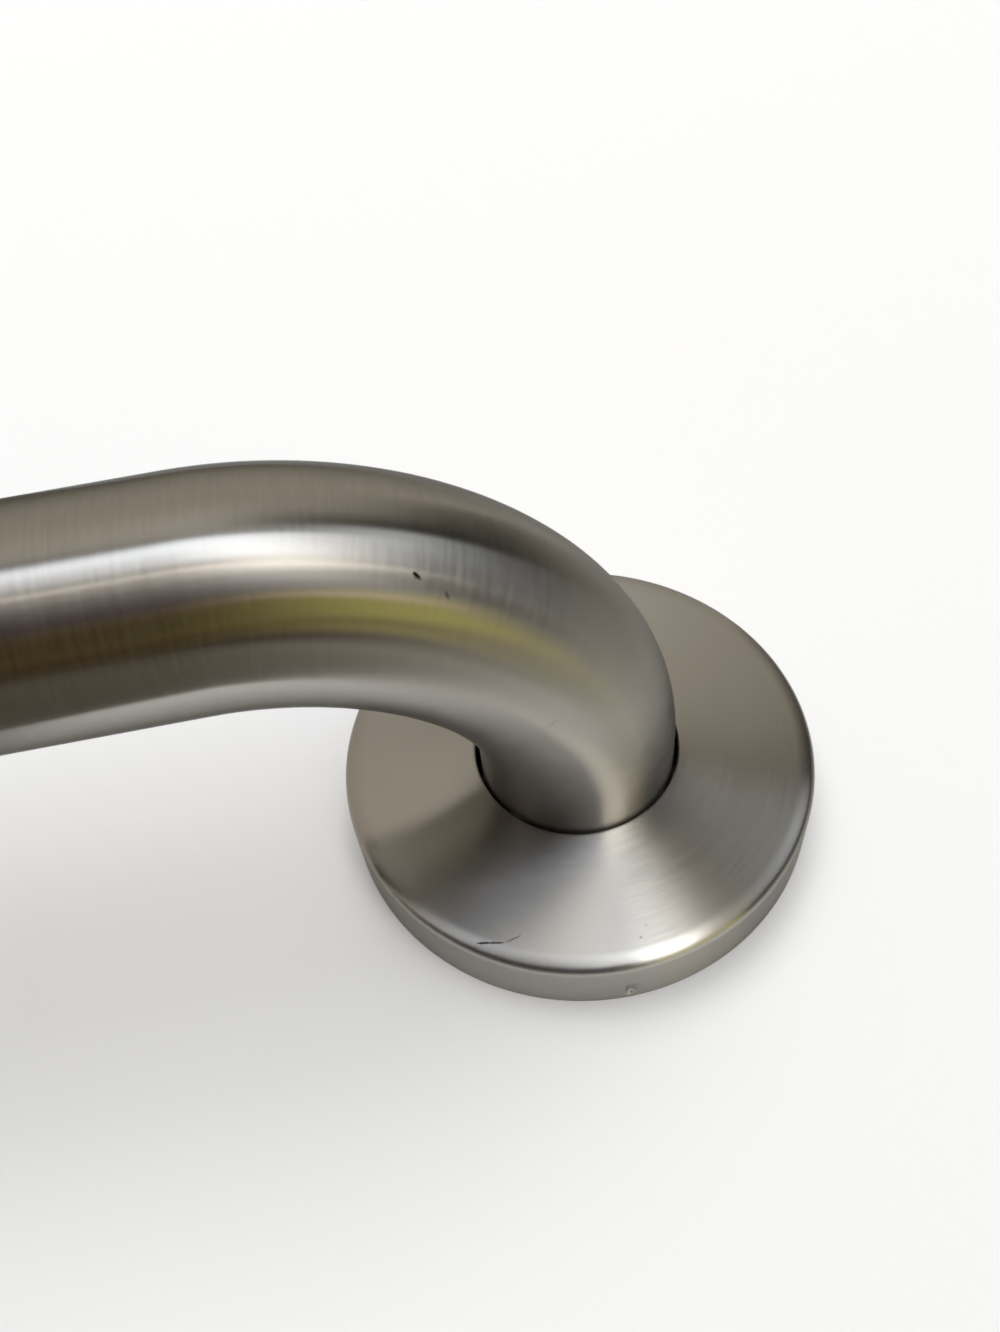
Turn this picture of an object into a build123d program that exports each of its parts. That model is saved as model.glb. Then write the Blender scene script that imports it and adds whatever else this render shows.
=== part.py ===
from build123d import *

import os

# A wall-mounted grab bar of satin stainless steel.
#
# The bar is one round tube, bent a quarter turn at each end into a short leg. Each leg
# passes through a round mounting plate and is welded to it, and the plate is what the
# wall screws hold. A thin pressed cover with a slightly coned face hides the plate and its
# screws. It is threaded on the tube and grips the plate's edge with pressed nibs.
#
# Millimetres. The wall is the plane Z = 0, and +Z points away from it. X runs along the
# bar, and the origin is on the wall midway between the two legs.

# Bar tube
leg_spacing = 300.0
tube_diameter = 32.0
tube_wall = 1.2
bar_height = 67.0
bend_radius = 50.0
tube_end_recess = 0.5

# Mounting plate
plate_thickness = 3.0
plate_edge_break = 0.6
plate_bore_clearance = 0.1
screw_count = 3
screw_hole_diameter = 6.5
screw_circle_diameter = 54.0
screw_hole_edge_break = 0.4
first_screw_angle = 90.0

# Weld between the tube and the plate
weld_leg = 3.0

# Push-on cover
cover_diameter = 78.0
cover_sheet = 0.9
cover_rim_height = 11.5
cover_face_rise = 1.3
cover_edge_radius = 2.0
cover_tube_clearance = 0.8
cover_lip_break = 0.3

# Nibs pressed into the cover's skirt, which grip the plate's edge
nib_count = 3
first_nib_angle = -90.0
nib_punch_radius = 0.7
nib_depth = 0.6
nib_straight_length = 2.1
nib_middle_height = 3.05
nib_clearance = 0.1

# Sizes that follow from the ones above
leg_x = leg_spacing / 2
tube_radius = tube_diameter / 2
tube_bore_radius = tube_radius - tube_wall
cover_radius = cover_diameter / 2
cover_hole_radius = tube_radius + cover_tube_clearance
cover_face_slope = cover_face_rise / (cover_radius - cover_hole_radius)
cover_inner_bend_break = (cover_edge_radius - cover_sheet) * (2 - 2**0.5)
plate_radius = cover_radius - cover_sheet - nib_depth - nib_clearance
plate_bore_radius = tube_radius + plate_bore_clearance
screw_hole_radius = screw_hole_diameter / 2


def bar_tube():
    """One tube, from the left leg's foot round a bend, along the bar and down the right leg."""
    path = FilletPolyline(
        (-leg_x, 0, tube_end_recess),
        (-leg_x, 0, bar_height),
        (leg_x, 0, bar_height),
        (leg_x, 0, tube_end_recess),
        radius=bend_radius,
    )
    section = Circle(tube_radius) - Circle(tube_bore_radius)
    return sweep(Plane(origin=path @ 0, z_dir=path % 0) * section, path=path)


def mounting_plate():
    """A stamped disc on the wall, bored for the leg and pierced for the wall screws."""
    plate = extrude(Circle(plate_radius) - Circle(plate_bore_radius), plate_thickness)
    for index in range(screw_count):
        turn = Rot(0, 0, first_screw_angle + index * 360 / screw_count)
        hole = turn * Pos(screw_circle_diameter / 2, 0, 0) * Circle(screw_hole_radius)
        plate -= extrude(hole, plate_thickness)

    front_edges = plate.edges().group_by(Axis.Z)[-1].filter_by(GeomType.CIRCLE)
    plate = chamfer(front_edges.sort_by(SortBy.RADIUS)[-1], plate_edge_break)
    front_edges = plate.edges().group_by(Axis.Z)[-1].filter_by(GeomType.CIRCLE)
    screw_edges = front_edges.filter_by(lambda edge: edge.radius == screw_hole_radius)
    return chamfer(screw_edges, screw_hole_edge_break)


def weld_bead():
    """The fillet weld that runs once round the leg on the plate's front face."""
    root = (tube_radius, plate_thickness)
    toe = (tube_radius + weld_leg, plate_thickness)
    top = (tube_radius, plate_thickness + weld_leg)
    section = make_face(Polyline(root, toe, top, close=True))
    return revolve(Plane.XZ * section, Axis.Z)


def cover_outline(inset):
    """Half of the cover's section, filled in up to its outer surface less the inset."""
    skirt_radius = cover_radius - inset
    drop = inset * (1 + cover_face_slope**2) ** 0.5
    rim_z = cover_rim_height + cover_face_slope * inset - drop
    top_z = cover_rim_height + cover_face_slope * cover_radius - drop
    return make_face(
        Polyline((0, 0), (skirt_radius, 0), (skirt_radius, rim_z), (0, top_z), close=True)
    )


def rim_corner(outline):
    """The corner of a cover outline where the skirt meets the face."""
    return outline.vertices().sort_by(Axis.X)[-2:].sort_by(Axis.Y)[-1]


def nib_form(radius):
    """A round-ended upright punch at the skirt, on the side of angle zero."""
    centre_x = cover_radius - nib_depth + nib_punch_radius
    half = nib_straight_length / 2
    punch = Cylinder(radius, nib_straight_length)
    punch += Pos(0, 0, half) * Sphere(radius)
    punch += Pos(0, 0, -half) * Sphere(radius)
    return Pos(centre_x, 0, nib_middle_height) * punch


def pressed_cover():
    """The cover: skirt, rounded edge, coned face, hole for the tube, and nibs."""
    outer = cover_outline(0)
    outer = fillet(rim_corner(outer), cover_edge_radius)
    inner = cover_outline(cover_sheet)
    inner = chamfer(rim_corner(inner), cover_inner_bend_break)
    hole = Rectangle(cover_hole_radius, cover_diameter, align=(Align.MIN, Align.CENTER))
    section = outer - inner - hole
    lip_corner = (cover_hole_radius, cover_rim_height + cover_face_rise)
    section = chamfer(section.vertices().sort_by_distance(lip_corner)[0], cover_lip_break)
    cover = revolve(Plane.XZ * section, Axis.Z)

    outer_form = revolve(Plane.XZ * outer, Axis.Z)
    for index in range(nib_count):
        turn = Rot(0, 0, first_nib_angle + index * 360 / nib_count)
        cover += (turn * nib_form(nib_punch_radius + cover_sheet)) & outer_form
        cover -= turn * nib_form(nib_punch_radius)
    return cover


os.makedirs("parts", exist_ok=True)
export_step(bar_tube(), "parts/bar_tube.step")
for side, foot_x in (("left", -leg_x), ("right", leg_x)):
    foot = Pos(foot_x, 0, 0)
    export_step(foot * mounting_plate(), f"parts/{side}_mounting_plate.step")
    export_step(foot * weld_bead(), f"parts/{side}_weld_bead.step")
    export_step(foot * pressed_cover(), f"parts/{side}_cover.step")
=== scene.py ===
import math

import bpy
import numpy as np
from mathutils import Matrix, Vector


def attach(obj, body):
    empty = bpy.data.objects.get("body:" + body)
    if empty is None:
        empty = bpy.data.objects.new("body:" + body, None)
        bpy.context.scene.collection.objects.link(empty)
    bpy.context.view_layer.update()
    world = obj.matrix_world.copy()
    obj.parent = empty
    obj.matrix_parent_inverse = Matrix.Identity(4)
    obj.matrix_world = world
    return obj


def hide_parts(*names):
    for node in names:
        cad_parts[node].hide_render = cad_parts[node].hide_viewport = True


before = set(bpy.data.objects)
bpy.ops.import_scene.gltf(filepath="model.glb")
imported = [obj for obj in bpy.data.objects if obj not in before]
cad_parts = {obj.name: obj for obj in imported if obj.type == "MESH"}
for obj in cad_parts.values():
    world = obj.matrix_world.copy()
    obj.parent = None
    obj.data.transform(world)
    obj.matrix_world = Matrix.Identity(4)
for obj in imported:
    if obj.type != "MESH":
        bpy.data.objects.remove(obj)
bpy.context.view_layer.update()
bpy.context.scene.view_settings.view_transform = "Standard"


# Camera
# A phone camera held close, above the right foot and in front of it, looking down towards the wall
# plate. It stands where the tube's and the cover's outlines put it.
CAMERA_PLACE = Vector((0.130116, -0.106945, 0.187940))
CAMERA_RIGHT = Vector((0.98207371, -0.17566998, -0.06834679))
CAMERA_DOWN = Vector((-0.1823595, -0.79366801, -0.58037583))
CAMERA_AHEAD = Vector((0.04770995, 0.58243553, -0.81147558))
SENSOR_WIDTH = 36.0
LENS_LENGTH = 33.452
NEAREST_SEEN = 0.005

camera_data = bpy.data.cameras.new("phone_camera")
camera_data.sensor_fit = "AUTO"
camera_data.sensor_width = SENSOR_WIDTH
camera_data.lens = LENS_LENGTH
camera_data.clip_start = NEAREST_SEEN
camera = bpy.data.objects.new("phone_camera", camera_data)
camera_turn = Matrix((CAMERA_RIGHT, -CAMERA_DOWN, -CAMERA_AHEAD)).transposed()
camera.matrix_world = Matrix.Translation(CAMERA_PLACE) @ camera_turn.to_4x4()
bpy.context.scene.collection.objects.link(camera)
bpy.context.scene.camera = camera


# Floor
# A pale table top under the bar. Its colour, with a little glow that only the camera, gloss and glass
# see, makes it near white, and it keeps the bar's soft shadow.
FLOOR_HALF_WIDTH = 4.0
FLOOR_COLOUR = (0.895, 0.90, 0.91)
FLOOR_GLOW = 0.15


def node(tree, kind, inputs=(), **settings):
    """A node with its settings, and each input linked to an output or set to a value."""
    made = tree.nodes.new(kind)
    for name, value in settings.items():
        setattr(made, name, value)
    for key, source in dict(inputs).items():
        if isinstance(source, bpy.types.NodeSocket):
            tree.links.new(source, made.inputs[key])
        else:
            made.inputs[key].default_value = source
    return made


def maths(tree, operation, *values, clamp=False):
    """The output of a Math node on these outputs or numbers."""
    inputs = dict(enumerate(values))
    return node(tree, "ShaderNodeMath", inputs, operation=operation, use_clamp=clamp).outputs[0]


def new_material(name):
    """An empty node material and its tree."""
    material = bpy.data.materials.new(name)
    material.use_nodes = True
    material.node_tree.nodes.clear()
    return material, material.node_tree


def add_piece(name, vertices, faces):
    """A mesh object at the origin, with its place in its mesh."""
    mesh = bpy.data.meshes.new(name)
    mesh.from_pydata([tuple(v) for v in vertices], [], [tuple(f) for f in faces])
    mesh.update()
    piece = bpy.data.objects.new(name, mesh)
    bpy.context.scene.collection.objects.link(piece)
    return piece


w = FLOOR_HALF_WIDTH
table_top = add_piece("table_top", [(-w, -w, 0), (w, -w, 0), (w, w, 0), (-w, w, 0)], [(0, 1, 2, 3)])
table_material, tree = new_material("pale_table_top")
ray = node(tree, "ShaderNodeLightPath").outputs
seen = maths(tree, "MAXIMUM", ray["Is Camera Ray"], ray["Is Glossy Ray"])
seen = maths(tree, "MAXIMUM", seen, ray["Is Transmission Ray"])
glow = maths(tree, "MULTIPLY", seen, FLOOR_GLOW)
pale = node(tree, "ShaderNodeBsdfDiffuse", {"Color": (*FLOOR_COLOUR, 1)}).outputs[0]
white = node(tree, "ShaderNodeEmission", {"Color": (1, 1, 1, 1), "Strength": 1.0}).outputs[0]
blend = node(tree, "ShaderNodeMixShader", {"Fac": glow, 1: pale, 2: white}).outputs[0]
node(tree, "ShaderNodeOutputMaterial", {"Surface": blend})
table_top.data.materials.append(table_material)


# Room and lights
# A warm grey room with a bright ceiling panel, a thin warm lamp and the dark and coloured things that
# a satin metal shows. They are soft-edged cards on the room itself, and the camera sees its bare walls.
ROOM_COLOUR = (0.447, 0.409, 0.348)
UNLIT = (0.004, 0.004, 0.004)
LOWEST_TILT = -90.0
HIGHEST_TILT = 270.0


def socket_kind(value):
    """The kind of socket that holds such a value: a number, a place of three or a colour of four."""
    if isinstance(value, tuple):
        return "NodeSocketColor" if len(value) == 4 else "NodeSocketVector"
    return "NodeSocketInt" if isinstance(value, int) else "NodeSocketFloat"


def node_group(name, tree_kind, inputs, outputs):
    """A node group with named inputs at their usual values, and named outputs of these kinds."""
    group = bpy.data.node_groups.new(name, tree_kind)
    for input_name, value in inputs.items():
        socket = group.interface.new_socket(input_name, in_out="INPUT", socket_type=socket_kind(value))
        socket.default_value = value
    for output_name, kind in outputs.items():
        group.interface.new_socket(output_name, in_out="OUTPUT", socket_type=kind)
    return group


def axes(tree, place):
    """The X, Y and Z of a place or a direction."""
    return node(tree, "ShaderNodeSeparateXYZ", {0: place}).outputs


def remapped(tree, value, low, high, to_low=0.0, to_high=1.0, kind="LINEAR"):
    """A value taken from one range to another and kept inside it."""
    ranges = {"Value": value, "From Min": low, "From Max": high, "To Min": to_low, "To Max": to_high}
    return node(tree, "ShaderNodeMapRange", ranges, interpolation_type=kind).outputs[0]


def mixed(tree, share, under, over):
    """One colour laid over another by a share from 0 to 1."""
    return node(tree, "ShaderNodeMix", {0: share, 6: under, 7: over}, data_type="RGBA").outputs[2]


soft_card = node_group("Soft Card", "ShaderNodeTree", {
    "Under": (0.0, 0.0, 0.0, 1.0), "Light": (1.0, 1.0, 1.0, 1.0), "Turn": 0.0, "Tilt": 0.0,
    "Turn From": 0.0, "Turn To": 0.0, "Tilt From": 0.0, "Tilt To": 0.0,
    "Soft From": 0.0, "Soft To": 0.0, "Soft Low": 0.0, "Soft High": 0.0, "Lean": 0.0},
    {"Colour": "NodeSocketColor"})


def soft_edge(value, edge, softness, rising):
    """How far a direction is inside one edge of the card, from 0 to 1."""
    half = maths(soft_card, "MULTIPLY", softness, 0.5)
    before = maths(soft_card, "SUBTRACT", edge, half)
    after = maths(soft_card, "ADD", edge, half)
    to_low, to_high = (0.0, 1.0) if rising else (1.0, 0.0)
    return remapped(soft_card, value, before, after, to_low, to_high, "SMOOTHSTEP")


given = soft_card.nodes.new("NodeGroupInput").outputs
leaned = maths(soft_card, "MULTIPLY", given["Lean"], given["Turn"])
level = maths(soft_card, "SUBTRACT", given["Tilt"], leaned)
coverage = soft_edge(given["Turn"], given["Turn From"], given["Soft From"], True)
for value, edge, softness, rising in (
        (given["Turn"], "Turn To", "Soft To", False), (level, "Tilt From", "Soft Low", True),
        (level, "Tilt To", "Soft High", False)):
    inside = soft_edge(value, given[edge], given[softness], rising)
    coverage = maths(soft_card, "MULTIPLY", coverage, inside)
laid = mixed(soft_card, coverage, given["Under"], given["Light"])
node(soft_card, "NodeGroupOutput", {"Colour": laid})

# Turn is degrees to the right, and tilt is degrees up from the camera's side and on over the top.
room = bpy.data.worlds.new("warm_grey_room")
room.use_nodes = True
room_tree = room.node_tree
room_tree.nodes.clear()
aim = axes(room_tree, node(room_tree, "ShaderNodeTexCoord").outputs["Generated"])
seen_turn = maths(room_tree, "DEGREES", maths(room_tree, "ARCSINE", aim["X"]))
towards_camera = maths(room_tree, "MULTIPLY", aim["Y"], -1.0)
seen_tilt = maths(room_tree, "DEGREES", maths(room_tree, "ARCTAN2", aim["Z"], towards_camera))
seen_tilt = maths(room_tree, "WRAP", seen_tilt, HIGHEST_TILT, LOWEST_TILT)
walls = node(room_tree, "ShaderNodeRGB").outputs[0]
walls.default_value = (*ROOM_COLOUR, 1)


def room_card(under, name, turn, tilt, soft, lean, light):
    """Lays a card over what the room shows, with its soft left, right, low and high edges."""
    card = node(room_tree, "ShaderNodeGroup", {
        "Under": under, "Light": (*light, 1), "Turn": seen_turn, "Tilt": seen_tilt,
        "Turn From": turn[0], "Turn To": turn[1], "Tilt From": tilt[0], "Tilt To": tilt[1],
        "Soft From": soft[0], "Soft To": soft[1], "Soft Low": soft[2], "Soft High": soft[3],
        "Lean": lean}, node_tree=soft_card, label=name)
    return card.outputs["Colour"]


lit = room_card(walls, "dark doorway",
                turn=(37, 91), tilt=(52.5, 207.5), soft=(0.5, 2, 11, 1), lean=-0.28, light=UNLIT)
lit = room_card(lit, "olive towel",
                turn=(14, 81), tilt=(-5.5, 44), soft=(12, 12, 2, 3), lean=-0.14, light=(0.69, 0.655, 0.205))
lit = room_card(lit, "dark beyond the towel",
                turn=(48, 96), tilt=(-2.5, 61.5), soft=(8.5, 2, 1.5, 13), lean=-0.22, light=UNLIT)
lit = room_card(lit, "brown cupboards", turn=(-95, 12.5), tilt=(-6.5, 73.5),
                soft=(3, 10.5, 0.5, 0.5), lean=0.1, light=(0.022, 0.006, 0.006))
lit = room_card(lit, "dark overhead", turn=(-24, 1), tilt=(55, 95.5),
                soft=(16, 1, 5.5, 3), lean=-0.56, light=(0.010, 0.009, 0.008))
lit = room_card(lit, "lit far ceiling", turn=(-4, 11.5), tilt=(96.5, 120),
                soft=(14.5, 22, 1.5, 23), lean=-1.6, light=(1.56, 1.48, 1.35))
lit = room_card(lit, "dark beam",
                turn=(5, 91), tilt=(96.5, 117), soft=(1.5, 8, 0.5, 22.5), lean=0.04, light=UNLIT)
lit = room_card(lit, "dim ceiling", turn=(26.5, 50), tilt=(72, 97.5),
                soft=(25, 6, 40, 9), lean=0.32, light=(1.12, 1.18, 1.26))
lit = room_card(lit, "glow in front", turn=(7, 28.5), tilt=(47.5, 59),
                soft=(3.5, 3, 20, 2.5), lean=-0.15, light=(1.22, 1.19, 1.22))
lit = room_card(lit, "roof window",
                turn=(9, 20.5), tilt=(58, 81), soft=(4, 6, 20, 34), lean=0.13, light=(6.9, 6.75, 6.5))
lit = room_card(lit, "ceiling panel",
                turn=(-1.5, 13), tilt=(77, 98), soft=(24, 14, 8, 1), lean=-0.15, light=(4.4, 4.65, 5.05))
lit = room_card(lit, "ceiling panel's left end", turn=(-27, 5.5), tilt=(88.5, 98.5),
                soft=(40, 0.5, 13, 2.5), lean=0.12, light=(2.22, 2.37, 2.67))
lit = room_card(lit, "warm strip lamp",
                turn=(-27, 42.5), tilt=(69, 69.5), soft=(20, 18.5, 1, 2), lean=-0.15, light=(5.4, 4.9, 4.3))
lit = room_card(lit, "brown shelf", turn=(5.5, 47), tilt=(13, 21),
                soft=(17, 40, 4.5, 4.5), lean=-0.35, light=(0.37, 0.31, 0.12))
lit = room_card(lit, "tan curtain rail", turn=(13.5, 44), tilt=(40.5, 44.5),
                soft=(3.5, 14, 4.5, 3.5), lean=-0.26, light=(1.32, 1.06, 0.84))
to_camera = node(room_tree, "ShaderNodeLightPath").outputs["Is Camera Ray"]
shown = mixed(room_tree, to_camera, lit, walls)
background = node(room_tree, "ShaderNodeBackground", {"Color": shown, "Strength": 1.0}).outputs[0]
node(room_tree, "ShaderNodeOutputWorld", {"Surface": background})
bpy.context.scene.world = room

# Outside the picture a grey cover lies on the table. It glows with the grey of the lit table, and painted
# shade darkens it at its front left and towards its far front. Only gloss shows it.
TABLE_GREY = (0.422, 0.395, 0.334)
PAINTED_TABLE_SHADE = (0.094, 0.081, 0.059)
TABLE_COVER_HEIGHT = 0.0003
PICTURE_SHAPE = 1000 / 1332
DARK_LEFT_FROM, DARK_LEFT_TO = 0.22, 0.05
DARK_FRONT_FROM, DARK_FRONT_TO = 0.05, 0.0
FAR_FRONT_FROM, FAR_FRONT_TO = -0.12, -0.8
FAR_FRONT_SHARE = 0.8

half_height = 0.5 * camera_data.sensor_width / camera_data.lens
half_width = half_height * PICTURE_SHAPE
inner, outer = [], []
for across, along in ((-1, -1), (1, -1), (1, 1), (-1, 1)):
    sight = CAMERA_AHEAD + across * half_width * CAMERA_RIGHT - along * half_height * CAMERA_DOWN
    seen_place = CAMERA_PLACE + sight * (-CAMERA_PLACE.z / sight.z)
    inner.append((seen_place.x, seen_place.y, TABLE_COVER_HEIGHT))
    outer.append((across * FLOOR_HALF_WIDTH, along * FLOOR_HALF_WIDTH, TABLE_COVER_HEIGHT))
cover_sides = [(k, 4 + k, 4 + (k + 1) % 4, (k + 1) % 4) for k in range(4)]
table_cover = add_piece("glowing_table_cover_with_painted_shade", inner + outer, cover_sides)
table_cover_material, tree = new_material("glowing_table_cover_with_painted_shade")
place = axes(tree, node(tree, "ShaderNodeTexCoord").outputs["Object"])
# The painted shade on the table: strong at its front left, and growing towards its far front.
leftwards = remapped(tree, place["X"], DARK_LEFT_FROM, DARK_LEFT_TO, kind="SMOOTHSTEP")
forwards = remapped(tree, place["Y"], DARK_FRONT_FROM, DARK_FRONT_TO, kind="SMOOTHSTEP")
far_front = remapped(
    tree, place["Y"], FAR_FRONT_FROM, FAR_FRONT_TO, to_high=FAR_FRONT_SHARE, kind="SMOOTHSTEP")
darkness = maths(tree, "MAXIMUM", maths(tree, "MULTIPLY", leftwards, forwards), far_front)
tone = mixed(tree, darkness, (*TABLE_GREY, 1), (*PAINTED_TABLE_SHADE, 1))
light = node(tree, "ShaderNodeEmission", {"Color": tone, "Strength": 1.0}).outputs[0]
node(tree, "ShaderNodeOutputMaterial", {"Surface": light})
table_cover.data.materials.append(table_cover_material)
table_cover.visible_camera = False
table_cover.visible_diffuse = False
table_cover.visible_shadow = False

# One wide lamp behind and above the bar lights the table and throws the soft shadow forwards.
LAMP_SIZE = 1.5
LAMP_POWER = 30.0
LAMP_PLACE = (0.1, 0.95, 2.1)
LAMP_TILT = -24

ceiling_data = bpy.data.lights.new("ceiling_lamp", "AREA")
ceiling_data.shape = "SQUARE"
ceiling_data.size = LAMP_SIZE
ceiling_data.energy = LAMP_POWER
ceiling_lamp = bpy.data.objects.new("ceiling_lamp", ceiling_data)
ceiling_lamp.location = LAMP_PLACE
ceiling_lamp.rotation_euler = (math.radians(LAMP_TILT), 0.0, 0.0)
ceiling_lamp.visible_glossy = False
ceiling_lamp.visible_camera = False
bpy.context.scene.collection.objects.link(ceiling_lamp)


# Bar tube
# One round stainless tube, cold drawn, bent at both ends over a mandrel and then belt brushed, so
# fine lines run round it everywhere. Each leg ends just inside its wall plate.
LEG_SPACING = 0.300
TUBE_DIAMETER = 0.032
TUBE_WALL = 0.0012
GRIP_HEIGHT = 0.067
BEND_RADIUS = 0.050
END_RECESS = 0.0005
END_BREAK = 0.00015
END_BREAK_ANGLE = 60
TUBE_RINGS = 261
TUBE_SIDES = 112
ROUTE_CORNERS = 4
BEND_POINTS = 240
SHARP_EDGE = 50
SEAM_DISTANCE = 1e-6


def geometry_tree(name, sizes):
    """A geometry node tree with these named sizes, a Material input and a Geometry output."""
    group = node_group(name, "GeometryNodeTree", sizes, {})
    group.interface.new_socket("Material", in_out="INPUT", socket_type="NodeSocketMaterial")
    group.interface.new_socket("Geometry", in_out="OUTPUT", socket_type="NodeSocketGeometry")
    return group, group.nodes.new("NodeGroupInput").outputs


def kept_along(group, curve, name, measure):
    """A curve whose points remember how far along it they are, by Length in metres or by Factor."""
    keeper = group.nodes.new("GeometryNodeCaptureAttribute")
    keeper.capture_items.new("FLOAT", name)
    group.links.new(curve, keeper.inputs["Geometry"])
    along = node(group, "GeometryNodeSplineParameter").outputs[measure]
    group.links.new(along, keeper.inputs[name])
    return keeper.outputs["Geometry"], keeper.outputs[name]


def end_tree(group, skin, material):
    """Closes the seams, and ends the tree in plain geometry with its material."""
    skin = node(
        group, "GeometryNodeMergeByDistance", {"Geometry": skin, "Distance": SEAM_DISTANCE}).outputs[0]
    skin = node(group, "GeometryNodeRealizeInstances", {"Geometry": skin}).outputs[0]
    skin = node(group, "GeometryNodeSetMaterial", {"Geometry": skin, "Material": material}).outputs[0]
    node(group, "NodeGroupOutput", {0: skin})


def grown_piece(name, group, values, finishing=None):
    """Runs a geometry node tree with these input values, and returns its plain mesh as a piece."""
    seed_mesh = bpy.data.meshes.new(name + "_seed")
    grower = bpy.data.objects.new(name + "_grower", seed_mesh)
    bpy.context.scene.collection.objects.link(grower)
    modifier = grower.modifiers.new("grow", "NODES")
    modifier.node_group = group
    for item in group.interface.items_tree:
        if item.item_type == "SOCKET" and item.in_out == "INPUT" and item.name in values:
            modifier[item.identifier] = values[item.name]
    if finishing:
        finishing(grower)
    graph = bpy.context.evaluated_depsgraph_get()
    grown = grower.evaluated_get(graph)
    mesh = bpy.data.meshes.new_from_object(grown, preserve_all_data_layers=True, depsgraph=graph)
    mesh.name = name
    bpy.data.objects.remove(grower)
    piece = bpy.data.objects.new(name, mesh)
    bpy.context.scene.collection.objects.link(piece)
    return piece


def signed_volume(mesh):
    """The volume that the faces enclose, below zero where they point inwards."""
    mesh.calc_loop_triangles()
    corners = np.empty(len(mesh.vertices) * 3)
    mesh.vertices.foreach_get("co", corners)
    corners = corners.reshape(-1, 3)
    triangles = np.empty(len(mesh.loop_triangles) * 3, dtype=np.int32)
    mesh.loop_triangles.foreach_get("vertices", triangles)
    a, b, c = (corners[triangles.reshape(-1, 3)[:, k]] for k in range(3))
    return float(np.einsum("ij,ij->i", a, np.cross(b, c)).sum() / 6)


def smooth_faces(mesh, sharp_degrees):
    """Faces that point outwards, with smooth shading that breaks at real edges."""
    if signed_volume(mesh) < 0:
        mesh.flip_normals()
    mesh.shade_smooth()
    mesh.set_sharp_from_angle(angle=math.radians(sharp_degrees))


# The route is four corner points, rounded at the two bends, and a circle is swept along it.
tube_sizes = {
    "Leg Spacing": LEG_SPACING, "Tube Radius": TUBE_DIAMETER / 2, "Grip Height": GRIP_HEIGHT,
    "Bend Radius": BEND_RADIUS, "End Recess": END_RECESS, "Rings": TUBE_RINGS, "Sides": TUBE_SIDES}
tube_tree, given = geometry_tree("Bent Tube", tube_sizes)
index = node(tube_tree, "GeometryNodeInputIndex").outputs[0]
from_middle = maths(tube_tree, "SUBTRACT", index, (ROUTE_CORNERS - 1) / 2)
leg_x = maths(tube_tree, "MULTIPLY", given["Leg Spacing"], 0.5)
corner_x = maths(tube_tree, "MULTIPLY", maths(tube_tree, "SIGN", from_middle), leg_x)
is_top = maths(tube_tree, "LESS_THAN", maths(tube_tree, "ABSOLUTE", from_middle), 1.0)
leg_length = maths(tube_tree, "SUBTRACT", given["Grip Height"], given["End Recess"])
corner_z = maths(tube_tree, "MULTIPLY_ADD", is_top, leg_length, given["End Recess"])
corner = node(tube_tree, "ShaderNodeCombineXYZ", {"X": corner_x, "Z": corner_z}).outputs[0]
line = node(tube_tree, "GeometryNodeMeshLine", {"Count": ROUTE_CORNERS}).outputs["Mesh"]
route = node(tube_tree, "GeometryNodeMeshToCurve", {"Mesh": line}).outputs[0]
route = node(tube_tree, "GeometryNodeSetPosition", {"Geometry": route, "Position": corner}).outputs[0]
route = node(
    tube_tree, "GeometryNodeFilletCurve",
    {"Curve": route, "Count": BEND_POINTS, "Radius": given["Bend Radius"]}, mode="POLY").outputs[0]
route = node(tube_tree, "GeometryNodeResampleCurve", {"Curve": route, "Count": given["Rings"]}).outputs[0]
route, along = kept_along(tube_tree, route, "Along", "Length")
ring = node(tube_tree, "GeometryNodeCurveArc", {
    "Resolution": given["Sides"], "Radius": given["Tube Radius"], "Start Angle": 0.0,
    "Sweep Angle": 2 * math.pi}, mode="RADIUS").outputs["Curve"]
ring, around = kept_along(tube_tree, ring, "Around", "Factor")
skin = node(tube_tree, "GeometryNodeCurveToMesh", {"Curve": route, "Profile Curve": ring}).outputs[0]
unrolled = node(tube_tree, "ShaderNodeCombineXYZ", {"X": along, "Y": around}).outputs[0]
skin = node(
    tube_tree, "GeometryNodeStoreNamedAttribute", {"Geometry": skin, "Name": "UVMap", "Value": unrolled},
    data_type="FLOAT2", domain="CORNER").outputs[0]
end_tree(tube_tree, skin, given["Material"])

# Brush lines, shared by the tube and the covers: U runs across the lines in metres and V once round.
STEEL_COLOUR = (0.50, 0.48, 0.445)
EDGE_TINT = (0.25, 0.25, 0.25, 1.0)
FINE_WEIGHT = 0.45
MIDDLE_WEIGHT = 0.47
BROAD_WEIGHT = 0.08
FAINTEST_LINE = 0.40
STRONGEST_LINE = 0.60

grain = node_group(
    "Brush Grain", "ShaderNodeTree",
    {"Lines per Metre": 2500.0, "Line Runs": 2.0, "Smooth Roughness": 0.27, "Coarse Roughness": 0.33,
     "Dark Colour": (0.33, 0.31, 0.28, 1.0), "Light Colour": (0.40, 0.38, 0.35, 1.0)},
    {"Colour": "NodeSocketColor", "Roughness": "NodeSocketFloat", "Height": "NodeSocketFloat"})
given = grain.nodes.new("NodeGroupInput").outputs
across = axes(grain, node(grain, "ShaderNodeUVMap", uv_map="UVMap").outputs[0])
turned = maths(grain, "MULTIPLY", across["Y"], 2 * math.pi)
cosine = maths(grain, "COSINE", turned)
sine = maths(grain, "SINE", turned)


def noise(tree, at, scale, detail, roughness=0.5):
    """The grey value of a noise texture at a place."""
    return node(tree, "ShaderNodeTexNoise", {
        "Vector": at, "Scale": scale, "Detail": detail, "Roughness": roughness}).outputs["Fac"]


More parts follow.
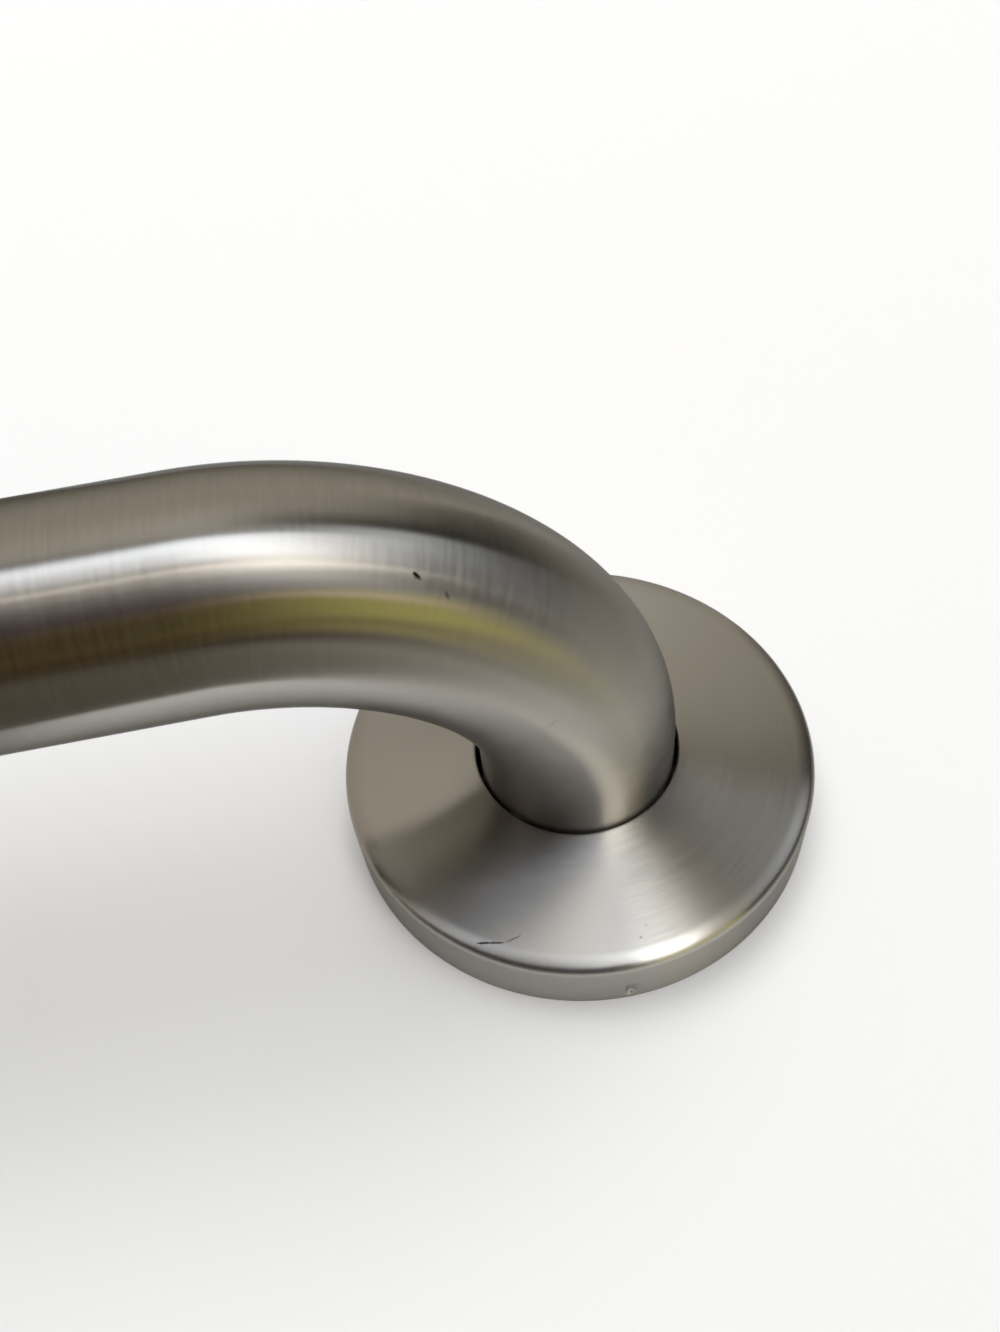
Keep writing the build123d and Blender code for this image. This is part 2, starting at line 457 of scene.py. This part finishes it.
def line_layer(lines_per_metre, line_runs, density_share, run_share):
    """Noise drawn out into lines round the piece, as a share of its full density and run."""
    density = maths(grain, "MULTIPLY", lines_per_metre, density_share)
    run = maths(grain, "MULTIPLY", line_runs, run_share)
    at = node(grain, "ShaderNodeCombineXYZ", {
        "X": maths(grain, "MULTIPLY", across["X"], density), "Y": maths(grain, "MULTIPLY", cosine, run),
        "Z": maths(grain, "MULTIPLY", sine, run)}).outputs[0]
    return noise(grain, at, 1.0, 2.0, 0.6)


fine = line_layer(given["Lines per Metre"], given["Line Runs"], 1.0, 1.0)
middle = line_layer(given["Lines per Metre"], given["Line Runs"], 0.45, 0.8)
broad = line_layer(given["Lines per Metre"], given["Line Runs"], 0.09, 0.4)
lines = maths(grain, "MULTIPLY", fine, FINE_WEIGHT)
lines = maths(grain, "MULTIPLY_ADD", middle, MIDDLE_WEIGHT, lines)
lines = maths(grain, "MULTIPLY_ADD", broad, BROAD_WEIGHT, lines)
lines = remapped(grain, lines, FAINTEST_LINE, STRONGEST_LINE)
node(grain, "NodeGroupOutput", {
    "Colour": mixed(grain, lines, given["Dark Colour"], given["Light Colour"]),
    "Roughness": remapped(grain, lines, 0.0, 1.0, given["Smooth Roughness"], given["Coarse Roughness"]),
    "Height": broad})

# One dark mark, such as a scratch, a speck, or the painted shade in a crease: a short dark stroke between
# two points of the piece, ragged and thin at its ends.
RAGGED_SCALE = 2600.0
THIN_END = 0.35
NARROWEST, WIDEST = 0.45, 1.25
STROKE_FULLNESS = 1.6

dark_stroke = node_group(
    "Dark Mark", "ShaderNodeTree",
    {"Mask": 0.0, "Start": (0.0, 0.0, 0.0), "End": (0.0, 0.0, 0.001), "Half Width": 0.0002, "Depth": 1.0},
    {"Mask": "NodeSocketFloat"})


def vectors(operation, first, second):
    """The outputs of a Vector Math node on two places of the stroke."""
    return node(dark_stroke, "ShaderNodeVectorMath", {0: first, 1: second}, operation=operation).outputs


given = dark_stroke.nodes.new("NodeGroupInput").outputs
place = node(dark_stroke, "ShaderNodeTexCoord").outputs["Object"]
ragged = noise(dark_stroke, place, RAGGED_SCALE, 2.0)
stroke = vectors("SUBTRACT", given["End"], given["Start"])["Vector"]
reach = vectors("SUBTRACT", place, given["Start"])["Vector"]
onto = vectors("DOT_PRODUCT", reach, stroke)["Value"]
square = vectors("DOT_PRODUCT", stroke, stroke)["Value"]
share = maths(dark_stroke, "DIVIDE", onto, square, clamp=True)
nearest = node(
    dark_stroke, "ShaderNodeVectorMath", {0: stroke, "Scale": share}, operation="SCALE").outputs["Vector"]
off = vectors("DISTANCE", reach, nearest)["Value"]
ends = maths(dark_stroke, "SINE", maths(dark_stroke, "MULTIPLY", share, math.pi))
swell = remapped(dark_stroke, ends, 0.0, 0.5, THIN_END, 1.0)
wander = remapped(dark_stroke, ragged, 0.3, 0.7, NARROWEST, WIDEST)
width = maths(dark_stroke, "MULTIPLY", maths(dark_stroke, "MULTIPLY", swell, wander), given["Half Width"])
inside = remapped(dark_stroke, off, width, 0.0, 0.0, STROKE_FULLNESS)
inside = maths(dark_stroke, "MULTIPLY", inside, given["Depth"], clamp=True)
node(dark_stroke, "NodeGroupOutput", {"Mask": maths(dark_stroke, "MAXIMUM", inside, given["Mask"])})

SMUDGE_SCALE = 75.0
SMUDGE_GLOSS = 0.014
# The dark of the marks, which also paints the shade in the tube's crease.
MARK_COLOUR = (0.035, 0.028, 0.022, 1.0)
MARK_DEPTH = 3.0
LINE_BUMP = 0.5


def shaded(colour, share):
    """A colour made darker or lighter by a share."""
    return (*(c * share for c in colour), 1.0)


def brushed_steel(name, lines_per_metre, line_runs, roughness, spread, contrast, depth, marks):
    """Satin steel whose highlight stretches across its brush lines, with smudges, and with dark marks:
    scratches, specks and painted shade in a crease.
    """
    material, tree = new_material(name)
    brush = node(tree, "ShaderNodeGroup", {
        "Lines per Metre": lines_per_metre, "Line Runs": line_runs,
        "Smooth Roughness": roughness - spread, "Coarse Roughness": roughness + spread,
        "Dark Colour": shaded(STEEL_COLOUR, 1 - contrast),
        "Light Colour": shaded(STEEL_COLOUR, 1 + contrast)}, node_tree=grain).outputs
    place = node(tree, "ShaderNodeTexCoord").outputs["Object"]
    smudge = remapped(tree, noise(tree, place, SMUDGE_SCALE, 3.0, 0.55), 0.50, 0.75)
    handled = maths(tree, "MULTIPLY_ADD", smudge, -SMUDGE_GLOSS, brush["Roughness"])
    # Dark marks: scratches, specks and painted shade in a crease, each darkened and dipped a little.
    mask = 0.0
    for start, end, half_width, strength in marks:
        mask = node(tree, "ShaderNodeGroup", {
            "Mask": mask, "Start": start, "End": end, "Half Width": half_width, "Depth": strength},
            node_tree=dark_stroke).outputs["Mask"]
    height = maths(tree, "MULTIPLY_ADD", mask, -MARK_DEPTH, brush["Height"])
    bump = node(tree, "ShaderNodeBump", {"Strength": LINE_BUMP, "Distance": depth, "Height": height})
    tangent = node(tree, "ShaderNodeTangent", direction_type="UV_MAP", uv_map="UVMap")
    steel = node(tree, "ShaderNodeBsdfPrincipled", {
        "Base Color": mixed(tree, mask, brush["Colour"], MARK_COLOUR), "Metallic": 1.0,
        "Roughness": handled, "Anisotropic": 1.0, "Specular Tint": EDGE_TINT,
        "Normal": bump.outputs[0], "Tangent": tangent.outputs[0]}).outputs[0]
    node(tree, "ShaderNodeOutputMaterial", {"Surface": steel})
    return material


# A dark mark and a fainter one above the right bend, each a small dip painted dark, and painted shade in a
# crease on its inside, also with a small dip: from where, to where, how wide from its middle and how
# strong.
tube_marks = [
    ((0.12903, -0.00865, 0.07342), (0.12966, -0.00922, 0.07268), 0.00046, 1.0),
    ((0.1324, -0.0099, 0.0704), (0.1327, -0.0106, 0.0697), 0.00030, 0.45),
    ((0.14315, -0.01594, 0.0450), (0.1445, -0.0157, 0.0459), 0.00022, 0.35)]
tube_material = brushed_steel(
    "belt_brushed_steel", lines_per_metre=2900.0, line_runs=2.6, roughness=0.257, spread=0.009,
    contrast=0.033, depth=0.000003, marks=tube_marks)


def tube_wall(grower):
    """Gives the swept skin its wall, and takes the burr off the two cut ends."""
    wall = grower.modifiers.new("wall", "SOLIDIFY")
    wall.thickness = TUBE_WALL
    wall.offset = -1.0
    deburr = grower.modifiers.new("deburr", "BEVEL")
    deburr.width = END_BREAK
    deburr.segments = 2
    deburr.limit_method = "ANGLE"
    deburr.angle_limit = math.radians(END_BREAK_ANGLE)


bar_tube = grown_piece("bar_tube_brushed", tube_tree, {**tube_sizes, "Material": tube_material}, tube_wall)
smooth_faces(bar_tube.data, SHARP_EDGE)
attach(bar_tube, "root")
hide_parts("bar_tube")


# Mounting plates
# A plain disc of stainless plate at each foot, blanked and drilled for three wall screws. The covers
# hide them, except from the wall's side.
PLATE_COLOUR = (0.42, 0.41, 0.39)
PLATE_DARKEST, PLATE_LIGHTEST = 0.82, 1.15
PLATE_SMOOTHEST, PLATE_DULLEST = 0.30, 0.44
PLATE_PITS = 0.00002

plate_material, tree = new_material("mill_finish_plate")
place = node(tree, "ShaderNodeTexCoord").outputs["Object"]
mottle = noise(tree, place, 900.0, 4.0, 0.6)
clouds = noise(tree, place, 60.0, 3.0)
shade = maths(tree, "MULTIPLY", mottle, clouds)
tone = mixed(tree, shade, shaded(PLATE_COLOUR, PLATE_DARKEST), shaded(PLATE_COLOUR, PLATE_LIGHTEST))
dull = remapped(tree, clouds, 0.0, 1.0, PLATE_SMOOTHEST, PLATE_DULLEST)
dents = node(tree, "ShaderNodeBump", {"Strength": 0.3, "Distance": PLATE_PITS, "Height": mottle}).outputs[0]
steel = node(tree, "ShaderNodeBsdfPrincipled", {
    "Base Color": tone, "Metallic": 1.0, "Roughness": dull, "Normal": dents}).outputs[0]
node(tree, "ShaderNodeOutputMaterial", {"Surface": steel})
for side_name in ("left", "right"):
    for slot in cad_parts[side_name + "_mounting_plate"].material_slots:
        slot.material = plate_material


# Weld beads
# The leg of the tube is welded to its plate all the way round, in one pass by hand: a rippled fillet
# bead, grey where it is cold and straw and blue where its edges were hottest. The cover hides it.
PLATE_THICKNESS = 0.003
WELD_LEG = 0.003
WELD_RIPPLES = 34
WELD_RIPPLE_HEIGHT = 0.00022
WELD_SEED = 3.0
WELD_SHARP_EDGE = 60
STEPS_PER_RIPPLE = 12.0
SECTION_POINTS = 32
RIPPLE_TRAIL = 0.55
CREST_LEAN = 0.6
SMALLEST_LEG = 0.86
FACE_FULLNESS = 1.6

weld_sizes = {
    "Foot X": LEG_SPACING / 2, "Tube Radius": TUBE_DIAMETER / 2, "Plate Top": PLATE_THICKNESS,
    "Leg Length": WELD_LEG, "Ripples": WELD_RIPPLES, "Ripple Height": WELD_RIPPLE_HEIGHT, "Seed": WELD_SEED}
weld_tree, given = geometry_tree("Weld Bead", weld_sizes)


def bead_maths(operation, *values, clamp=False):
    """The output of a Math node in the weld bead's tree."""
    return maths(weld_tree, operation, *values, clamp=clamp)


# Two circles give the bead its points, which then move to their places round the leg.
steps_round = bead_maths("MULTIPLY", given["Ripples"], STEPS_PER_RIPPLE)
circle = node(
    weld_tree, "GeometryNodeCurvePrimitiveCircle",
    {"Resolution": steps_round, "Radius": 0.02}).outputs["Curve"]
section = node(
    weld_tree, "GeometryNodeCurvePrimitiveCircle",
    {"Resolution": SECTION_POINTS, "Radius": 0.001}).outputs["Curve"]
circle, around = kept_along(weld_tree, circle, "Around", "Factor")
section, through = kept_along(weld_tree, section, "Through", "Factor")
bead = node(weld_tree, "GeometryNodeCurveToMesh", {"Curve": circle, "Profile Curve": section}).outputs[0]
turned = bead_maths("MULTIPLY", around, 2 * math.pi)
cosine = bead_maths("COSINE", turned)
sine = bead_maths("SINE", turned)
# The first half of the section is the bead's face, from the plate up to the tube. The rest is its two
# legs, against the tube and the plate.
face_angle = bead_maths("MULTIPLY", bead_maths("MINIMUM", through, 0.5), math.pi)
on_face = bead_maths("LESS_THAN", through, 0.5)
off_face = bead_maths("SUBTRACT", 1.0, on_face)
face_out = bead_maths("POWER", bead_maths("MAXIMUM", bead_maths("COSINE", face_angle), 0.0), FACE_FULLNESS)
face_up = bead_maths("POWER", bead_maths("SINE", face_angle), FACE_FULLNESS)
leg_out = bead_maths("MULTIPLY", bead_maths("SUBTRACT", through, 0.75), 4.0, clamp=True)
leg_up = bead_maths("MULTIPLY", bead_maths("SUBTRACT", 0.75, through), 4.0, clamp=True)
out = bead_maths("MULTIPLY_ADD", face_out, on_face, bead_maths("MULTIPLY", leg_out, off_face))
up = bead_maths("MULTIPLY_ADD", face_up, on_face, bead_maths("MULTIPLY", leg_up, off_face))
# Each ripple is a small crescent that trails where the bead is thickest.
hump = bead_maths("MULTIPLY", bead_maths("MULTIPLY", out, up), 4.0)
trail = bead_maths("MULTIPLY_ADD", hump, -RIPPLE_TRAIL, bead_maths("MULTIPLY", around, given["Ripples"]))
ramp = bead_maths("POWER", bead_maths("FRACT", trail), CREST_LEAN)
crest = bead_maths("SINE", bead_maths("MULTIPLY", ramp, math.pi))
wander_at = node(weld_tree, "ShaderNodeCombineXYZ", {"X": cosine, "Y": sine, "Z": given["Seed"]}).outputs[0]
size = remapped(weld_tree, noise(weld_tree, wander_at, 2.6, 2.0), 0.0, 1.0, SMALLEST_LEG, 1.0)
raised = bead_maths("MULTIPLY", bead_maths("MULTIPLY", crest, hump), given["Ripple Height"])
raised = bead_maths("MULTIPLY", raised, on_face)
leg_size = bead_maths("MULTIPLY", given["Leg Length"], size)
radius = bead_maths("MULTIPLY_ADD", out, leg_size, bead_maths("ADD", given["Tube Radius"], raised))
height = bead_maths("MULTIPLY_ADD", up, leg_size, bead_maths("ADD", given["Plate Top"], raised))
bead_place = node(weld_tree, "ShaderNodeCombineXYZ", {
    "X": bead_maths("MULTIPLY_ADD", cosine, radius, given["Foot X"]),
    "Y": bead_maths("MULTIPLY", sine, radius), "Z": height}).outputs[0]
bead = node(weld_tree, "GeometryNodeSetPosition", {"Geometry": bead, "Position": bead_place}).outputs[0]
end_tree(weld_tree, bead, given["Material"])

HEAT_TINTS = ((0.0, (0.20, 0.23, 0.33)), (0.16, (0.40, 0.31, 0.17)), (0.36, (0.46, 0.44, 0.40)),
              (0.66, (0.45, 0.43, 0.39)), (0.86, (0.41, 0.31, 0.16)), (1.0, (0.19, 0.22, 0.32)))
HEAT_WANDER = 0.5
WELD_SMOOTHEST, WELD_DULLEST = 0.30, 0.46
WELD_PITS = 0.00002

weld_material, tree = new_material("heat_tinted_weld")
place = node(tree, "ShaderNodeTexCoord").outputs["Object"]
up_the_bead = remapped(tree, axes(tree, place)["Z"], PLATE_THICKNESS, PLATE_THICKNESS + WELD_LEG)
cloud = noise(tree, place, 420.0, 3.0)
heat = maths(tree, "MULTIPLY_ADD", maths(tree, "SUBTRACT", cloud, 0.5), HEAT_WANDER, up_the_bead)
tint = node(tree, "ShaderNodeValToRGB", {"Fac": heat})
stops = tint.color_ramp.elements
while len(stops) < len(HEAT_TINTS):
    stops.new(0.5)
for stop, (at, colour) in zip(stops, HEAT_TINTS):
    stop.position = at
    stop.color = (*colour, 1)
dull = remapped(tree, cloud, 0.0, 1.0, WELD_SMOOTHEST, WELD_DULLEST)
pits = noise(tree, place, 2400.0, 2.0)
pits = node(tree, "ShaderNodeBump", {"Strength": 0.35, "Distance": WELD_PITS, "Height": pits}).outputs[0]
steel = node(tree, "ShaderNodeBsdfPrincipled", {
    "Base Color": tint.outputs["Color"], "Metallic": 1.0, "Roughness": dull, "Normal": pits}).outputs[0]
node(tree, "ShaderNodeOutputMaterial", {"Surface": steel})
for side_name, foot_x in (("left", -LEG_SPACING / 2), ("right", LEG_SPACING / 2)):
    weld = grown_piece(
        side_name + "_weld_rippled", weld_tree,
        {**weld_sizes, "Foot X": foot_x, "Seed": WELD_SEED + foot_x, "Material": weld_material})
    smooth_faces(weld.data, WELD_SHARP_EDGE)
    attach(weld, "root")
    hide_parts(side_name + "_weld_bead")


# Foot covers
# A round push-on cover over each foot, pressed from one thin stainless sheet and spun satin, so its
# fine lines are circles. Three small nibs pressed into the skirt grip the plate's edge.
COVER_RADIUS = 0.039
COVER_SHEET = 0.0009
COVER_RIM_HEIGHT = 0.0115
COVER_FACE_RISE = 0.0013
COVER_SHOULDER_RADIUS = 0.007
COVER_SHOULDER_SLOPE = 21.0
COVER_EDGE_RADIUS = 0.0015
COVER_HOLE_RADIUS = 0.0168
COVER_LIP_RADIUS = 0.0003
COVER_FOOT_BREAK = 0.00015
COVER_CROWN = COVER_FACE_RISE / (COVER_RADIUS ** 2 - COVER_HOLE_RADIUS ** 2)
SHOULDER_BLEND = 0.0006
HOLE_OFFSET = 0.0004
HOLE_OFFSET_END = 0.026
NIB_ANGLES = (-90, 30, 150)
NIB_DEPTH = 0.0006
NIB_MIDDLE = 0.00305
NIB_HALF_LENGTH = 0.00105
NIB_REACH = 0.0011
NIB_TOP = 0.0065
NIB_ROWS = np.arange(0.0006, 0.0056, 0.0002)
UPPER_ROWS = (0.0065, 0.0075, 0.0085)
TURN_STEP = 1.5
NIB_TURNS = np.arange(-3.0, 3.01, 0.25)


def cover_face_height(radius):
    """The gently crowned face, highest at the hole."""
    return COVER_RIM_HEIGHT + COVER_CROWN * (COVER_RADIUS ** 2 - radius ** 2)


def corner_arc(centre, radius, start, end, steps):
    """Points of an arc in the cover's section, from one angle to another, in degrees."""
    angles = np.radians(np.linspace(start, end, steps + 1))
    return [(centre[0] + radius * math.cos(a), centre[1] + radius * math.sin(a)) for a in angles]


def cover_section():
    """The sheet's outline in section: up the skirt, over the edge, along the face, and back inside."""
    steep = math.radians(COVER_SHOULDER_SLOPE)
    edge_x = COVER_RADIUS - COVER_EDGE_RADIUS
    shoulder_x = edge_x - (COVER_SHOULDER_RADIUS - COVER_EDGE_RADIUS) * math.sin(steep)
    flat = 0.0
    for _ in range(5):
        face_end = shoulder_x + COVER_SHOULDER_RADIUS * math.sin(flat)
        flat = math.atan(2 * COVER_CROWN * face_end)
    shoulder_z = cover_face_height(face_end) - COVER_SHOULDER_RADIUS * math.cos(flat)
    edge_z = shoulder_z + (COVER_SHOULDER_RADIUS - COVER_EDGE_RADIUS) * math.cos(steep)
    turn_in, turn_flat = 90 - COVER_SHOULDER_SLOPE, 90 - math.degrees(flat)
    edge, shoulder = (edge_x, edge_z), (shoulder_x, shoulder_z)
    lip_x = COVER_HOLE_RADIUS + COVER_LIP_RADIUS
    lip = (lip_x, cover_face_height(lip_x) - COVER_LIP_RADIUS)
    face_edge = face_end - SHOULDER_BLEND
    inside_radius = COVER_RADIUS - COVER_SHEET
    rows = [*NIB_ROWS, *UPPER_ROWS]
    outer_foot = (COVER_RADIUS - COVER_FOOT_BREAK, COVER_FOOT_BREAK)
    outer = corner_arc(outer_foot, COVER_FOOT_BREAK, -90, 0, 3)
    outer += [(COVER_RADIUS, z) for z in rows]
    outer += corner_arc(edge, COVER_EDGE_RADIUS, 0, turn_in, 10)
    outer += corner_arc(shoulder, COVER_SHOULDER_RADIUS, turn_in, turn_flat, 16)[1:]
    outer += [(r, cover_face_height(r)) for r in np.linspace(face_edge, lip_x + COVER_LIP_RADIUS, 24)]
    outer += corner_arc(lip, COVER_LIP_RADIUS, 90, 180, 5)
    inner = [(COVER_HOLE_RADIUS, cover_face_height(COVER_HOLE_RADIUS) - COVER_SHEET)]
    inner += [(r, cover_face_height(r) - COVER_SHEET) for r in np.linspace(lip_x, face_edge, 12)]
    inner += corner_arc(shoulder, COVER_SHOULDER_RADIUS - COVER_SHEET, turn_flat, turn_in, 8)
    inner += corner_arc(edge, COVER_EDGE_RADIUS - COVER_SHEET, turn_in, 0, 5)[1:]
    inner += [(inside_radius, z) for z in reversed(rows)]
    inner_foot = (inside_radius + COVER_FOOT_BREAK, COVER_FOOT_BREAK)
    inner += corner_arc(inner_foot, COVER_FOOT_BREAK, 180, 270, 3)
    return outer + inner


def cover_turns():
    """Angles of the section round the cover, closer together at the nibs."""
    turns = set(np.round(np.arange(0, 360, TURN_STEP), 4))
    for nib in NIB_ANGLES:
        turns |= set(np.round((nib + NIB_TURNS) % 360, 4))
    return sorted(turns)


def nib_press(turn, radius, height):
    """How far the nibs press the skirt in at one of its points."""
    pressed = 0.0
    if radius > COVER_RADIUS - COVER_SHEET - SEAM_DISTANCE and height < NIB_TOP:
        for nib in NIB_ANGLES:
            off = math.radians((turn - nib + 180) % 360 - 180) * COVER_RADIUS
            rise = max(abs(height - NIB_MIDDLE) - NIB_HALF_LENGTH, 0.0)
            near = math.hypot(off, rise) / NIB_REACH
            if near < 1.0:
                pressed += NIB_DEPTH * (1 - near ** 2) ** 1.5
    return pressed


def hole_shift(radius):
    """How far the face moves back round the hole, fading out towards the rim."""
    share = (HOLE_OFFSET_END - radius) / (HOLE_OFFSET_END - COVER_HOLE_RADIUS)
    return HOLE_OFFSET * min(max(share, 0.0), 1.0)


def press_cover(name, foot_x):
    """Turns the section round the leg, presses the nibs in, and gives the sheet its UV."""
    section = cover_section()
    lengths = [0.0]
    for (r0, z0), (r1, z1) in zip(section, section[1:] + section[:1]):
        lengths.append(lengths[-1] + math.hypot(r1 - r0, z1 - z0))
    turns = cover_turns()
    vertices = []
    for turn in turns:
        angle = math.radians(turn)
        for radius, height in section:
            pressed = radius - nib_press(turn, radius, height)
            x = foot_x + pressed * math.cos(angle)
            y = pressed * math.sin(angle) + hole_shift(radius)
            vertices.append((x, y, height))
    count, rounds = len(section), len(turns)
    turn_ends = turns[1:] + [360.0]
    faces, places = [], []
    for k in range(rounds):
        here, following = turns[k] / 360, turn_ends[k] / 360
        ring, next_ring = k * count, ((k + 1) % rounds) * count
        for j in range(count):
            beyond = (j + 1) % count
            faces.append((ring + j, next_ring + j, next_ring + beyond, ring + beyond))
            near, far = lengths[j], lengths[j + 1]
            places += [(near, here), (near, following), (far, following), (far, here)]
    cover = add_piece(name, vertices, faces)
    layer = cover.data.uv_layers.new(name="UVMap")
    layer.data.foreach_set("uv", np.array(places, dtype=np.float32).ravel())
    return cover


# A fine scratch in two strokes on the right cover's face, near its front edge, and two small specks.
cover_marks = [
    ((0.12797, -0.03038, 0.01146), (0.13190, -0.03124, 0.01173), 0.00024, 0.95),
    ((0.13240, -0.03120, 0.01175), (0.13480, -0.03065, 0.01187), 0.00018, 0.45),
    ((0.15220, -0.03460, 0.0118), (0.15245, -0.03465, 0.0118), 0.00030, 0.45),
    ((0.15340, -0.03290, 0.0119), (0.15360, -0.03300, 0.0119), 0.00026, 0.4)]
cover_material = brushed_steel(
    "spun_satin_steel", lines_per_metre=3300.0, line_runs=4.0, roughness=0.257, spread=0.010,
    contrast=0.020, depth=0.0000006, marks=cover_marks)
for side_name, foot_x in (("left", -LEG_SPACING / 2), ("right", LEG_SPACING / 2)):
    cover = press_cover(side_name + "_cover_pressed", foot_x)
    cover.data.materials.append(cover_material)
    smooth_faces(cover.data, SHARP_EDGE)
    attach(cover, "root")
    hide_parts(side_name + "_cover")
